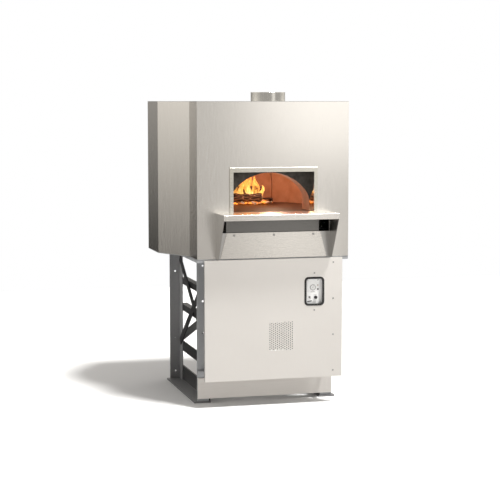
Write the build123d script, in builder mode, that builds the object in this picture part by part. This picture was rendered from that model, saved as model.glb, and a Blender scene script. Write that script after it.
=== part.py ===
"""Wood fired pizza oven on a steel stand, in millimetres.

The origin is on the floor, below the middle of the whole oven. +Z is up and the doorway
faces -Y. Depths are measured back from the facade, the flat front of the casing.
"""
from build123d import *
from math import atan2, cos, degrees, hypot, radians, sin
import os

# ---- driving dimensions -------------------------------------------------------------------

# casing
casing_height = 1905.0        # floor to the top of the casing
stand_height = 932.0          # floor to the underside of the casing
casing_width = 1257.0
casing_depth = 1225.0         # facade to back
facade_width = 976.0
facade_box_depth = 209.0      # the square box in front of the eight-sided body
front_facet_depth = 294.0
rear_facet_depth = 394.0
back_width = 780.0
sheet = 2.5                   # casing sheet
pan_sheet = 4.0               # bottom pan

# hearth and doorway
hearth_height = 1219.0        # floor to the cooking surface
door_width = 520.0
door_height = 250.0
frame_width = 22.0
frame_height = 29.0           # width of the frame's top bar
frame_proud = 10.0
jamb_depth = 90.0             # facade to the face of the mouth arch
jamb_sheet = 2.0
arch_width = 520.0
arch_rise = 242.0             # cooking surface to the crown of the arch
arch_straight = 50.0          # upright part at the foot of the arch
arch_side_radius = 130.0
arch_depth = 125.0
arch_wall = 50.0
face_plate = 3.0

# oven core
chamber_radius = 420.0
chamber_centre = 577.0        # facade to the middle of the chamber
wall_height = 111.0           # upright part of the chamber wall
dome_rise = 270.0             # top of the upright wall to the crown
dome_side_radius = 200.0      # where the dome turns up from the wall
dome_wall = 60.0
dome_segments = 10
segment_gap = 6.0
blanket = 80.0
slab = 50.0
hearth_board = 69.0           # insulation board under the slab
deck_sheet = 6.0
core_gap = 1.0                # fitting gap between core pieces

# mantle
mantle_width = 732.0
mantle_depth = 192.0
mantle_lip = 35.0
mantle_sheet = 4.0
gusset_sheet = 3.0
gusset_foot = 48.0            # depth of a gusset at its foot
slot_height = 73.0
slot_side = 1.0               # facade left between the slot and a gusset
cover_height = 161.0
cover_top = 602.0             # width along the top edge
cover_bottom = 686.0
cover_proud = 8.0
cover_sheet = 2.0
cover_screws = 255.0          # from the middle screw to an end screw
beam_width = 600.0
beam_setback = 18.0

# flue
collar_radius = 107.5
collar_wall = 3.0
collar_rise = 56.0
collar_clearance = 2.0        # around the collar in the top panel
collar_setback = 29.5         # facade to the front of the collar

# stand
leg_size = 76.0
leg_wall = 8.0
stand_width = 890.0           # over the outer edges of the legs
leg_front = 200.0             # facade to the front of the front legs
leg_rear = 1032.0             # facade to the back of the rear legs
top_rail = 18.0               # height of the top frame
top_rail_width = 60.0
base_reach = 97.0             # width of a base angle on the floor
base_rise = 105.0
base_wall = 10.0
rail_wall = 8.0
brace_wide = 50.0
brace_thick = 6.0

# service front
kick_bottom = 27.0
kick_top = 160.0
panel_bottom = 172.0
panel_top = 929.0
panel_proud = 18.0            # face of the panel in front of the facade
panel_sheet = 2.0
window_width = 130.0          # over the gasket
window_height = 182.0
window_across = 261.0         # middle of the oven to the middle of the window
window_up = 718.0             # floor to the middle of the window
window_corner = 26.0
gasket_lip = 4.0
gasket_wide = 13.0
vent_width = 210.0
vent_height = 180.0
vent_across = 45.0
vent_up = 442.0
vent_hole = 7.0
vent_pitch = 14.0
screw_pitch = 229.0
knob_radius = 10.0
running_gap = 0.35

# ---- derived places -----------------------------------------------------------------------

facade_y = mantle_depth - (casing_depth + mantle_depth) / 2
casing_top = casing_height - sheet
collar_centre = collar_setback + collar_radius
casing_floor = stand_height + pan_sheet
door_top = hearth_height + door_height
side_start = facade_box_depth + front_facet_depth
side_end = casing_depth - rear_facet_depth
slot_top = hearth_height - mantle_sheet - 47.0
slot_bottom = slot_top - slot_height
cover_base = slot_bottom - cover_height
gusset_inner = mantle_width / 2 - gusset_sheet
flange_inner = stand_width / 2 - leg_size

SIDES = (("left", -1), ("right", 1))

os.makedirs("parts", exist_ok=True)


def depth(d):
    """The y of a point that lies d behind the facade."""
    return facade_y + d


def front_plane(d):
    """A plane d behind the facade that faces the front, with x to the right and y up."""
    return Plane.XZ.offset(-depth(d))


def finish(piece, node):
    piece.part.label = node
    export_step(piece.part, f"parts/{node}.step")


def block(xs, ds, zs, mode=Mode.ADD):
    """A box between two x, two depths and two heights."""
    with Locations(((xs[0] + xs[1]) / 2, depth((ds[0] + ds[1]) / 2), (zs[0] + zs[1]) / 2)):
        Box(abs(xs[1] - xs[0]), abs(ds[1] - ds[0]), abs(zs[1] - zs[0]), mode=mode)


def mirrored(sign, near, far):
    """Two x values on the side that sign gives."""
    return sorted((sign * near, sign * far))


# ---- casing -------------------------------------------------------------------------------

# One sheet on each side is bent into the front facet, the side and the rear facet.
def right_outline(inset):
    """Corners of the eight-sided body on its right side, each wall moved in by inset."""
    corners = [
        (facade_width / 2, facade_box_depth),
        (casing_width / 2, side_start),
        (casing_width / 2, side_end),
        (back_width / 2, casing_depth),
        (0.0, casing_depth),
    ]
    if inset == 0:
        return corners
    walls = []
    for (x0, d0), (x1, d1) in zip(corners, corners[1:]):
        length = hypot(x1 - x0, d1 - d0)
        normal = ((d0 - d1) / length, (x1 - x0) / length)
        walls.append((normal, normal[0] * x0 + normal[1] * d0 + inset))
    moved = [(facade_width / 2 - inset, facade_box_depth)]
    for ((a, b), c), ((e, f), g) in zip(walls, walls[1:]):
        det = a * f - b * e
        moved.append(((c * f - b * g) / det, (a * g - c * e) / det))
    moved.append((0.0, casing_depth - inset))
    return moved


def plan():
    """The whole casing seen from above."""
    right = [(facade_width / 2, 0.0)] + right_outline(0)[:-1]
    left = [(-x, d) for x, d in reversed(right)]
    with BuildSketch() as outline:
        with BuildLine():
            Polyline([(x, depth(d)) for x, d in right + left], close=True)
        make_face()
    return outline.sketch


casing_plan = plan()
outer = right_outline(0)
inner = right_outline(sheet)
for side, sign in SIDES:
    with BuildPart() as casing_wrap:
        with BuildSketch(Plane.XY.offset(casing_floor)):
            with BuildLine():
                loop = outer[:4] + inner[3::-1]
                Polyline([(sign * x, depth(d)) for x, d in loop], close=True)
            make_face()
        extrude(amount=casing_top - casing_floor)
    finish(casing_wrap, f"casing_wrap_{side}")

with BuildPart() as back_panel:
    with BuildSketch(Plane.XY.offset(casing_floor)):
        with BuildLine():
            (x0, d0), (x1, d1) = outer[3], inner[3]
            quad = [(x0, d0), (-x0, d0), (-x1, d1), (x1, d1)]
            Polyline([(x, depth(d)) for x, d in quad], close=True)
        make_face()
    extrude(amount=casing_top - casing_floor)
finish(back_panel, "back_panel")

with BuildPart() as top_panel:
    with BuildSketch(Plane.XY.offset(casing_top)):
        add(casing_plan)
        with Locations((0, depth(collar_centre))):
            Circle(collar_radius + collar_clearance, mode=Mode.SUBTRACT)
    extrude(amount=sheet)
finish(top_panel, "top_panel")

with BuildPart() as bottom_pan:
    with BuildSketch(Plane.XY.offset(stand_height)):
        add(casing_plan)
    extrude(amount=pan_sheet)
finish(bottom_pan, "bottom_pan")

# The facade is one sheet with a side return bent back at each end. It is cut out for the
# doorway, for the slot below the mantle and for the access hole behind the cover.
access_width = cover_top - 120.0
access_margin = 30.0
with BuildPart() as facade_shell:
    with BuildSketch(Plane.XY.offset(casing_floor)):
        with Locations((0, depth(facade_box_depth / 2))):
            Rectangle(facade_width, facade_box_depth)
        with Locations((0, depth((facade_box_depth + sheet) / 2))):
            Rectangle(facade_width - 2 * sheet, facade_box_depth - sheet, mode=Mode.SUBTRACT)
    extrude(amount=casing_top - casing_floor)
    with BuildSketch(front_plane(0)):
        with Locations((0, (hearth_height - mantle_sheet + door_top) / 2)):
            Rectangle(door_width, door_height + mantle_sheet)
        with Locations((0, (slot_top + slot_bottom) / 2)):
            Rectangle(2 * (gusset_inner - slot_side), slot_height)
        with Locations((0, cover_base + cover_height / 2 - access_margin / 2)):
            Rectangle(access_width, cover_height - 2 * access_margin)
    extrude(amount=-sheet, mode=Mode.SUBTRACT)
    with BuildSketch(front_plane(0)):
        with Locations(*[(x, slot_bottom - 15.0) for x in (-cover_screws, 0, cover_screws)]):
            Circle(3.0)
    extrude(amount=-sheet, mode=Mode.SUBTRACT)
finish(facade_shell, "facade_shell")

# ---- flue ---------------------------------------------------------------------------------

# The collar drops through the top panel and hangs there on a flange. The hood's round riser
# slips over its lower end and brings up the smoke from the plenum above the doorway.
collar_drop = 40.0
riser_bottom = 1700.0 - casing_height
collar_inner = collar_radius - collar_wall
flue_gap = 0.5
with BuildPart() as flue_collar:
    with BuildSketch(Plane.XY.offset(casing_height - sheet - collar_drop)):
        with Locations((0, depth(collar_centre))):
            Circle(collar_radius)
            Circle(collar_inner, mode=Mode.SUBTRACT)
    extrude(amount=collar_drop + sheet + collar_rise)
    with BuildSketch(Plane.XY.offset(casing_top - collar_wall)):
        with Locations((0, depth(collar_centre))):
            Circle(collar_radius + 20.0)
            Circle(collar_radius - collar_wall / 2, mode=Mode.SUBTRACT)
    extrude(amount=collar_wall)
finish(flue_collar, "flue_collar")

riser_inner = collar_radius + flue_gap
riser_base = casing_height + riser_bottom
hood_base = door_top + 60.0
jamb_inner = door_width / 2
hood_sheet = 2.0
hood_slot = jamb_depth - sheet - 2 * hood_sheet


with BuildPart() as plenum_hood:
    for grow, mode in ((hood_sheet, Mode.ADD), (0, Mode.SUBTRACT)):
        with BuildSketch(Plane.XY.offset(hood_base)):
            with Locations((0, depth((sheet + jamb_depth) / 2))):
                Rectangle(2 * jamb_inner + 2 * grow, hood_slot + 2 * grow)
        with BuildSketch(Plane.XY.offset(riser_base)):
            with Locations((0, depth(collar_centre))):
                Rectangle(2 * riser_inner + 2 * grow, 2 * riser_inner + 2 * grow)
        loft(mode=mode)
    with BuildSketch(Plane.XY.offset(riser_base)):
        with Locations((0, depth(collar_centre))):
            Rectangle(2 * riser_inner + 2 * hood_sheet, 2 * riser_inner + 2 * hood_sheet)
            Circle(riser_inner, mode=Mode.SUBTRACT)
    extrude(amount=hood_sheet)
    with BuildSketch(Plane.XY.offset(riser_base)):
        with Locations((0, depth(collar_centre))):
            Circle(riser_inner + hood_sheet)
            Circle(riser_inner, mode=Mode.SUBTRACT)
    extrude(amount=casing_top - collar_wall - 2.0 - riser_base)
finish(plenum_hood, "plenum_hood")

# ---- doorway ------------------------------------------------------------------------------

with BuildPart() as door_frame:
    with BuildSketch(front_plane(-frame_proud)):
        with Locations((0, hearth_height + (door_height + frame_height) / 2)):
            Rectangle(door_width + 2 * frame_width, door_height + frame_height)
        with Locations((0, hearth_height + door_height / 2)):
            Rectangle(door_width, door_height, mode=Mode.SUBTRACT)
    extrude(amount=-frame_proud)
    outside = door_frame.edges().filter_by(Axis.X).group_by(Axis.Y)[0].sort_by(Axis.Z)[-1:]
    chamfer(outside, 1.5)
finish(door_frame, "door_frame")

for side, sign in SIDES:
    with BuildPart() as jamb_liner:
        xs = mirrored(sign, jamb_inner, jamb_inner + jamb_sheet)
        block(xs, (sheet, jamb_depth), (hearth_height, hood_base))
    finish(jamb_liner, f"jamb_liner_{side}")


def three_centres(half, rise, small):
    """Crown radius, and the point where the crown arc meets a side arc of radius small."""
    reach = half - small
    crown = (reach**2 + rise**2 - small**2) / (2 * (rise - small))
    share = crown / (crown - small)
    return crown, (reach * share, rise - crown + (crown - rise) * share)


def arch_opening():
    """The mouth's outline: a three-centred arch on short upright feet."""
    spring = hearth_height + arch_straight
    half = arch_width / 2
    crown, (meet_x, meet_z) = three_centres(half, arch_rise - arch_straight, arch_side_radius)
    meet = (meet_x, spring + meet_z)
    with BuildSketch() as outline:
        with BuildLine():
            foot = hearth_height
            Polyline((-half, spring), (-half, foot), (half, foot), (half, spring))
            RadiusArc((half, spring), meet, -arch_side_radius)
            RadiusArc(meet, (-meet[0], meet[1]), -crown)
            RadiusArc((-meet[0], meet[1]), (-half, spring), -arch_side_radius)
        make_face()
    return outline.sketch


mouth_outline = arch_opening()
arch_outer = arch_width / 2 + 70.0
arch_top = hearth_height + arch_rise + arch_wall
with BuildPart() as arch_face_plate:
    with BuildSketch(front_plane(jamb_depth)):
        with Locations((0, (hearth_height + hood_base) / 2)):
            Rectangle(2 * arch_outer, hood_base - hearth_height)
    extrude(amount=-face_plate)
    with BuildSketch(front_plane(jamb_depth)):
        add(mouth_outline)
    extrude(amount=-face_plate, mode=Mode.SUBTRACT)
finish(arch_face_plate, "arch_face_plate")

arch_front = jamb_depth + face_plate
arch_back = arch_front + arch_depth
with BuildPart() as mouth_arch:
    with BuildSketch(front_plane(arch_front)):
        with Locations((0, (hearth_height + arch_top) / 2)):
            Rectangle(2 * arch_outer, arch_top - hearth_height)
    extrude(amount=-arch_depth)
    with BuildSketch(front_plane(arch_front)):
        add(mouth_outline)
    extrude(amount=-arch_depth, mode=Mode.SUBTRACT)
finish(mouth_arch, "mouth_arch")

# ---- mantle -------------------------------------------------------------------------------

# The shelf runs through the doorway to the hearth slab. Its front edge is bent down.
shelf_tongue = 20.0
with BuildPart() as mantle_shelf:
    shelf_z = (hearth_height - mantle_sheet, hearth_height)
    block((-mantle_width / 2, mantle_width / 2), (-mantle_depth, 0), shelf_z)
    block((-jamb_inner + 1, jamb_inner - 1), (0, shelf_tongue), shelf_z)
    lip_z = (hearth_height - mantle_lip, hearth_height)
    block((-mantle_width / 2, mantle_width / 2), (-mantle_depth, mantle_sheet - mantle_depth), lip_z)
    rim = mantle_shelf.edges().filter_by(Axis.X).group_by(Axis.Y)[0].sort_by(Axis.Z)[-1:]
    fillet(rim, mantle_sheet * 0.6)
finish(mantle_shelf, "mantle_shelf")

# Each gusset is a tapered plate with a flange bent in against the facade beside the cover.
cover_slope = (cover_bottom - cover_top) / 2
cover_margin = 2.0
gusset_top = hearth_height - mantle_sheet
gusset_front = mantle_depth - mantle_sheet
for side, sign in SIDES:
    with BuildPart() as gusset:
        with BuildSketch(Plane.YZ.offset(sign * mantle_width / 2)):
            with BuildLine():
                Polyline(
                    (depth(0), gusset_top),
                    (depth(-gusset_front), gusset_top),
                    (depth(-gusset_front), hearth_height - mantle_lip),
                    (depth(-gusset_foot), cover_base),
                    (depth(0), cover_base),
                    close=True,
                )
            make_face()
        extrude(amount=-sign * gusset_sheet)
        with BuildSketch(front_plane(-gusset_sheet)):
            with BuildLine():
                Polyline(
                    (sign * gusset_inner, cover_base),
                    (sign * (cover_bottom / 2 + cover_margin), cover_base),
                    (sign * (cover_top / 2 + cover_margin), slot_bottom),
                    (sign * gusset_inner, slot_bottom),
                    close=True,
                )
            make_face()
        extrude(amount=-gusset_sheet)
    finish(gusset, f"gusset_{side}")

# The cover is a shallow tapered tray, hung over the access hole by three screws.
def cover_outline(inset):
    """The cover's tapered front, moved in by inset all round."""
    slope = cover_slope / cover_height
    low, high = cover_base + cover_margin + inset, slot_bottom - inset
    side_inset = inset * hypot(1, slope)
    with BuildSketch() as outline:
        with BuildLine():
            wide = cover_bottom / 2 - slope * (low - cover_base) - side_inset
            narrow = cover_bottom / 2 - slope * (high - cover_base) - side_inset
            Polyline((-wide, low), (wide, low), (narrow, high), (-narrow, high), close=True)
        make_face()
    return outline.sketch


cover_screw_up = slot_bottom - 15.0
cover_screw_places = [(x, cover_screw_up) for x in (-cover_screws, 0, cover_screws)]
cover_front = cover_outline(0)
cover_hollow = cover_outline(cover_sheet)
with BuildPart() as under_mantle_cover:
    with BuildSketch(front_plane(-cover_proud)):
        add(cover_front)
    extrude(amount=-cover_proud)
    with BuildSketch(front_plane(cover_sheet - cover_proud)):
        add(cover_hollow)
    extrude(amount=cover_sheet - cover_proud, mode=Mode.SUBTRACT)
    with BuildSketch(front_plane(-cover_proud)):
        with Locations(*cover_screw_places):
            Circle(3.2)
    extrude(amount=-cover_sheet, mode=Mode.SUBTRACT)
finish(under_mantle_cover, "under_mantle_cover")


def screws(places, face_depth, head_radius, head_height, shank_radius, shank_length):
    """Pan head screws driven to the rear, whose heads sit on a face."""
    with BuildPart() as group:
        with BuildSketch(front_plane(face_depth)):
            with Locations(*places):
                Circle(head_radius)
        extrude(amount=head_height)
        rims = group.edges().filter_by(GeomType.CIRCLE).group_by(Axis.Y)[0]
        fillet(rims, head_height * 0.55)
        with BuildSketch(front_plane(face_depth)):
            with Locations(*places):
                Circle(shank_radius)
        extrude(amount=-shank_length)
    return group


cover_fixings = screws(cover_screw_places, -cover_proud, 7.0, 3.5, 2.8, cover_proud + 6.0)

with BuildPart() as mantle_beam:
    beam_z = (slot_bottom - 3.0, hearth_height - slab)
    beam_x = (-beam_width / 2, beam_width / 2)
    block(beam_x, (beam_setback, beam_setback + 5.0), beam_z)
    block(beam_x, (beam_setback, beam_setback + 45.0), (beam_z[1] - 5.0, beam_z[1]))
    block(beam_x, (beam_setback, beam_setback + 45.0), (beam_z[0], beam_z[0] + 5.0))
finish(mantle_beam, "mantle_beam")

# ---- oven core ----------------------------------------------------------------------------

core_radius = chamber_radius + dome_wall
slab_bottom = hearth_height - slab
board_bottom = slab_bottom - hearth_board
deck_top = beam_z[0]
core_y = depth(chamber_centre)
tongue_half = jamb_inner - 2.0

with BuildPart() as hearth_slab:
    with BuildSketch(Plane.XY.offset(slab_bottom)):
        with Locations((0, core_y)):
            Circle(core_radius)
        with Locations((0, (depth(shelf_tongue + core_gap) + core_y) / 2)):
            Rectangle(2 * tongue_half, core_y - depth(shelf_tongue + core_gap))
    extrude(amount=slab)
finish(hearth_slab, "hearth_slab")

board_front = beam_setback + 50.0
with BuildPart() as hearth_insulation:
    with BuildSketch(Plane.XY.offset(deck_top)):
        with Locations((0, core_y)):
            Circle(core_radius)
        with Locations((0, depth(board_front / 2))):
            Rectangle(2 * core_radius, board_front, mode=Mode.SUBTRACT)
    extrude(amount=slab_bottom - deck_top)
finish(hearth_insulation, "hearth_insulation")

blanket_radius = core_radius + core_gap + blanket
post_size = 60.0
post_wall = 4.0
with BuildPart() as hearth_deck:
    with BuildSketch(Plane.XY.offset(deck_top - deck_sheet)):
        with Locations((0, core_y)):
            Circle(blanket_radius)
        with Locations((0, depth(facade_box_depth / 2))):
            Rectangle(2 * blanket_radius, facade_box_depth, mode=Mode.SUBTRACT)
        with Locations((0, (depth(beam_setback) + core_y) / 2)):
            Rectangle(beam_width, core_y - depth(beam_setback))
    extrude(amount=deck_sheet)
    with BuildSketch(Plane.XY.offset(casing_floor)):
        with Locations((0, core_y)):
            with PolarLocations(core_radius * 0.8, 6, start_angle=30):
                Rectangle(post_size, post_size)
                Rectangle(post_size - 2 * post_wall, post_size - 2 * post_wall, mode=Mode.SUBTRACT)
    extrude(amount=deck_top - deck_sheet - casing_floor)
finish(hearth_deck, "hearth_deck")

spring_height = hearth_height + wall_height


dome_crown, _ = three_centres(chamber_radius, dome_rise, dome_side_radius)
side_centre = (chamber_radius - dome_side_radius, spring_height)
crown_centre = (0.0, spring_height + dome_rise - dome_crown)
meet_direction = atan2(spring_height - crown_centre[1], side_centre[0])


def dome_arcs(grow):
    """Ends and radii of the two arcs of a dome that stands grow outside the chamber."""
    foot = (chamber_radius + grow, spring_height)
    side_radius = dome_side_radius + grow
    meet = (side_centre[0] + side_radius * cos(meet_direction),
            side_centre[1] + side_radius * sin(meet_direction))
    top = (0.0, spring_height + dome_rise + grow)
    return foot, side_radius, meet, dome_crown + grow, top


def dome_profile(near, far):
    """Half of a dome's section between two distances outside the chamber."""
    base = hearth_height
    foot_in, side_in, meet_in, crown_in, top_in = dome_arcs(near)
    foot_out, side_out, meet_out, crown_out, top_out = dome_arcs(far)
    with BuildSketch(Plane.XZ) as profile:
        with BuildLine():
            RadiusArc(foot_out, meet_out, -side_out)
            RadiusArc(meet_out, top_out, -crown_out)
            Line(top_out, top_in)
            RadiusArc(top_in, meet_in, crown_in)
            RadiusArc(meet_in, foot_in, side_in)
            Polyline(foot_in, (foot_in[0], base), (foot_out[0], base), foot_out)
        make_face()
    return profile.sketch


def core_cutters(clearance):
    """What the dome and its blanket leave free: the mouth arch and the passage through it."""
    with BuildPart() as cutter:
        block((-arch_outer - clearance, arch_outer + clearance), (0, arch_back + clearance),
              (hearth_height - slab, arch_top + clearance))
        with BuildSketch(front_plane(0)):
            add(mouth_outline)
        extrude(amount=-chamber_centre)
    return cutter.part


mouth_cutter = core_cutters(core_gap)
core_profile = dome_profile(0.0, dome_wall)
segment_angle = 360.0 / dome_segments
with BuildPart(mode=Mode.PRIVATE) as whole_dome:
    add(core_profile)
    revolve(axis=Axis.Z)
dome_solid = whole_dome.part.moved(Location((0, core_y, 0))) - mouth_cutter


def segment_wedge(first, last):
    """The space between two directions from the chamber's axis, less half a joint each side."""
    far = 2.0 * core_radius
    turn = (last - first) / 2
    middle = radians(90.0 - (first + last) / 2)
    spread = radians(turn)
    shift = segment_gap / 2 / sin(spread)
    apex = (shift * cos(middle), core_y + shift * sin(middle))
    ends = [
        (apex[0] + far * cos(middle + way * spread), apex[1] + far * sin(middle + way * spread))
        for way in (-1, 1)
    ]
    with BuildPart() as wedge:
        with BuildSketch(Plane.XY.offset(hearth_height)):
            with BuildLine():
                Polyline(apex, ends[0], ends[1], close=True)
            make_face()
        extrude(amount=wall_height + dome_rise + dome_wall + 10.0)
    return wedge.part


segment_starts = [(k - dome_segments / 2 + 1) * segment_angle for k in range(dome_segments - 2)]
for number, start in enumerate(segment_starts, start=1):
    with BuildPart() as dome_segment:
        add(dome_solid)
        add(segment_wedge(start, start + segment_angle), mode=Mode.INTERSECT)
    finish(dome_segment, f"dome_segment_{number}")

with BuildPart() as mouth_crown:
    add(dome_solid)
    add(segment_wedge(180 - segment_angle, 180 + segment_angle), mode=Mode.INTERSECT)
finish(mouth_crown, "mouth_crown")

with BuildPart(mode=Mode.PRIVATE) as whole_blanket:
    add(dome_profile(dome_wall + core_gap, dome_wall + core_gap + blanket))
    revolve(axis=Axis.Z)
blanket_front = facade_box_depth + 8.0
hood_reach = collar_centre + riser_inner + 6.0
with BuildPart() as insulation_blanket:
    add(whole_blanket.part.moved(Location((0, core_y, 0))))
    add(mouth_cutter, mode=Mode.SUBTRACT)
    everywhere = (-casing_width, casing_width)
    block(everywhere, (-casing_depth, blanket_front), (0, casing_height), mode=Mode.SUBTRACT)
    hood_x = (-riser_inner - 6.0, riser_inner + 6.0)
    block(hood_x, (0, hood_reach), (arch_top, casing_height), mode=Mode.SUBTRACT)
finish(insulation_blanket, "insulation_blanket")

# ---- fire ---------------------------------------------------------------------------------

fire_across = 20.0
fire_depth = 720.0
ember_height = 18.0
with BuildPart() as ember_bed:
    with BuildSketch(Plane.XY.offset(hearth_height)):
        with Locations((fire_across, depth(fire_depth))):
            RectangleRounded(300, 220, 70)
    extrude(amount=ember_height, taper=35)
finish(ember_bed, "ember_bed")

bed_top = hearth_height + ember_height


def log(piece_radius, length, across, back, up, heading):
    """One charred log: a lightly faceted round with its axis level, turned by heading."""
    along = (cos(radians(heading)), sin(radians(heading)), 0)
    place = Plane(origin=(across, depth(back), up), x_dir=(0, 0, 1), z_dir=along)
    with BuildPart() as round_wood:
        with BuildSketch(place.offset(-length / 2)):
            RegularPolygon(piece_radius, 12, major_radius=False, rotation=15)
        extrude(amount=length)
    return round_wood


log_radius = 32.0
low = bed_top + log_radius
with BuildPart() as firewood:
    add(log(log_radius, 210.0, fire_across - 25.0, fire_depth - 62.0, low, 0.0).part)
    add(log(log_radius, 220.0, fire_across - 5.0, fire_depth + 40.0, low, 0.0).part)
    add(log(26.0, 200.0, fire_across, fire_depth - 12.0, low + 50.5, 8.0).part)
finish(firewood, "firewood")

guard_size = (72.0, 60.0, 31.0)
guard_across = 196.0
guard_wall = 5.0
with BuildPart() as log_guard:
    guard_x = (guard_across - guard_size[0] / 2, guard_across + guard_size[0] / 2)
    guard_d = (fire_depth + 120.0, fire_depth + 120.0 + guard_size[1])
    block(guard_x, guard_d, (hearth_height, hearth_height + guard_size[2]))
    hollow_x = (guard_x[0] + guard_wall, guard_x[1] - guard_wall)
    hollow_z = (hearth_height + guard_wall, hearth_height + guard_size[2] - guard_wall)
    block(hollow_x, guard_d, hollow_z, mode=Mode.SUBTRACT)
finish(log_guard, "log_guard")

# ---- stand --------------------------------------------------------------------------------

frame_bottom = stand_height - top_rail
leg_outer = stand_width / 2
top_front = sheet
with BuildPart() as top_frame:
    with BuildSketch(Plane.XY.offset(frame_bottom)):
        with Locations((0, (depth(top_front) + depth(leg_rear)) / 2)):
            Rectangle(facade_width, leg_rear - top_front)
            Rectangle(facade_width - 2 * top_rail_width, leg_rear - top_front - 2 * top_rail_width,
                      mode=Mode.SUBTRACT)
        with Locations((0, depth(leg_front + leg_size / 2))):
            Rectangle(facade_width - 2 * top_rail_width, leg_size)
    extrude(amount=top_rail)
finish(top_frame, "top_frame")

leg_z = (base_wall, frame_bottom)
leg_hole_radius = 6.5
for end, front, inward, hole_steps in (
    ("front", leg_front, 1, (0.218, 0.489, 0.71, 0.957)),
    ("rear", leg_rear, -1, (0.067, 0.312, 0.821)),
):
    for side, sign in SIDES:
        with BuildPart() as leg:
            face = sorted((front, front + inward * leg_wall))
            web = sorted((front + inward * leg_wall, front + inward * leg_size))
            block(mirrored(sign, flange_inner, leg_outer), face, leg_z)
            block(mirrored(sign, flange_inner, flange_inner + leg_wall), web, leg_z)
            with BuildSketch(front_plane(face[0])):
                across = sign * (leg_outer - leg_size / 2)
                with Locations(*[(across, leg_z[1] * step) for step in hole_steps]):
                    Circle(leg_hole_radius)
            extrude(amount=-leg_wall, mode=Mode.SUBTRACT)
        finish(leg, f"leg_{end}_{side}")

base_inner = flange_inner - base_wall
base_outer = flange_inner + base_reach
base_d = (leg_front - 10.0, leg_rear + 8.0)
web_d = (leg_front, leg_rear + 8.0)
for side, sign in SIDES:
    with BuildPart() as base_angle:
        block(mirrored(sign, base_inner, base_outer), base_d, (0, base_wall))
        block(mirrored(sign, base_inner, flange_inner), web_d, (base_wall, base_rise))
    finish(base_angle, f"base_angle_{side}")

# Side rails run between the legs on the inner face of their webs. The upper two are angles.
rail_d = (leg_front + leg_wall + 2.0, leg_rear - leg_wall - 2.0)
flat_rail = (208.0, 276.0)
angle_rails = ((486.0, 530.0), (668.0, 710.0))
rail_inner = flange_inner - rail_wall
for side, sign in SIDES:
    with BuildPart() as side_rails:
        block(mirrored(sign, rail_inner, flange_inner), rail_d, flat_rail)
        for low_z, high_z in angle_rails:
            block(mirrored(sign, rail_inner, flange_inner), rail_d, (low_z, high_z))
            block(mirrored(sign, rail_inner - 36.0, rail_inner), rail_d, (high_z - rail_wall, high_z))
    finish(side_rails, f"side_rails_{side}")

# Each side has a crossed brace on the outer face of the webs: two bars welded where they cross.
brace_out = flange_inner + leg_wall
brace_front = leg_front + leg_size / 2
brace_back = leg_rear - leg_size / 2
falling = ((brace_front, 345.0), (brace_back, 846.0))
rising = ((brace_front, 795.0), (brace_back, 268.0))


def bar_place(start, end):
    """Middle and slope of a bar between two points, and its length."""
    run, lift = end[0] - start[0], end[1] - start[1]
    middle = (depth((start[0] + end[0]) / 2), (start[1] + end[1]) / 2)
    return Location(middle, degrees(atan2(lift, run))), hypot(run, lift)


for side, sign in SIDES:
    with BuildPart() as cross_brace:
        with BuildSketch(Plane.YZ.offset(sign * brace_out)):
            for start, end in (falling, rising):
                middle, length = bar_place(start, end)
                with Locations(middle):
                    Rectangle(length, brace_wide)
        extrude(amount=sign * brace_thick)
    finish(cross_brace, f"cross_brace_{side}")

rear_brace_low = 256.0
rear_brace_high = 869.0
with BuildPart() as rear_brace:
    rise = rear_brace_high - rear_brace_low
    run = 2 * leg_outer - leg_size
    with BuildSketch(front_plane(leg_rear)):
        with Locations(Location((0, (rear_brace_low + rear_brace_high) / 2), degrees(atan2(rise, run)))):
            Rectangle(hypot(rise, run), brace_wide)
    extrude(amount=-brace_thick)
finish(rear_brace, "rear_brace")

# ---- kick plate and panel supports --------------------------------------------------------

kick_sheet = 2.0
kick_front = leg_front - 12.0
with BuildPart() as kick_plate:
    block((-leg_outer, leg_outer), (kick_front, kick_front + kick_sheet), (kick_bottom, kick_top))
    for z in (kick_bottom, kick_top - kick_sheet):
        block((-leg_outer, leg_outer), (kick_front, leg_front), (z, z + kick_sheet))
finish(kick_plate, "kick_plate")

# A folded rail on the legs and four arms welded to it and to the legs carry the panel.
rail_low = (kick_top + 6.0, kick_top + 46.0)
arm_size = 25.0
arm_across = leg_outer - 60.0
panel_face = -panel_proud
panel_inside = panel_face + panel_sheet
panel_screw_up = [panel_top - 30.0 - k * screw_pitch for k in range(4)]
screw_shank = 2.8
screw_bite = 9.0
with BuildPart() as panel_support:
    block((-leg_outer, leg_outer), (leg_front - 2.0, leg_front), rail_low)
    block((-leg_outer, leg_outer), (leg_front - 22.0, leg_front - 2.0), (rail_low[1] - 2.0, rail_low[1]))
    for arm_top in (panel_top - 25.0, rail_low[1] + arm_size):
        for side, sign in SIDES:
            xs = mirrored(sign, arm_across - arm_size / 2, arm_across + arm_size / 2)
            block(xs, (panel_inside, leg_front), (arm_top - arm_size, arm_top))
    with BuildSketch(front_plane(panel_inside)):
        with Locations(*[(arm_across, z) for z in panel_screw_up]):
            Circle(screw_shank)
    extrude(amount=-screw_bite, mode=Mode.SUBTRACT)
finish(panel_support, "panel_support")

# ---- service panel ------------------------------------------------------------------------

window_x = (window_across - window_width / 2, window_across + window_width / 2)
cut_inset = gasket_lip
cut_width = window_width - 2 * cut_inset
cut_height = window_height - 2 * cut_inset
cut_corner = window_corner - cut_inset
panel_middle = (panel_top + panel_bottom) / 2
panel_height = panel_top - panel_bottom
strap_screws = [(window_across, window_up + 116.0), (window_across, window_up - 118.0)]
panel_screw_places = [(arm_across, z) for z in panel_screw_up] + strap_screws

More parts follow.
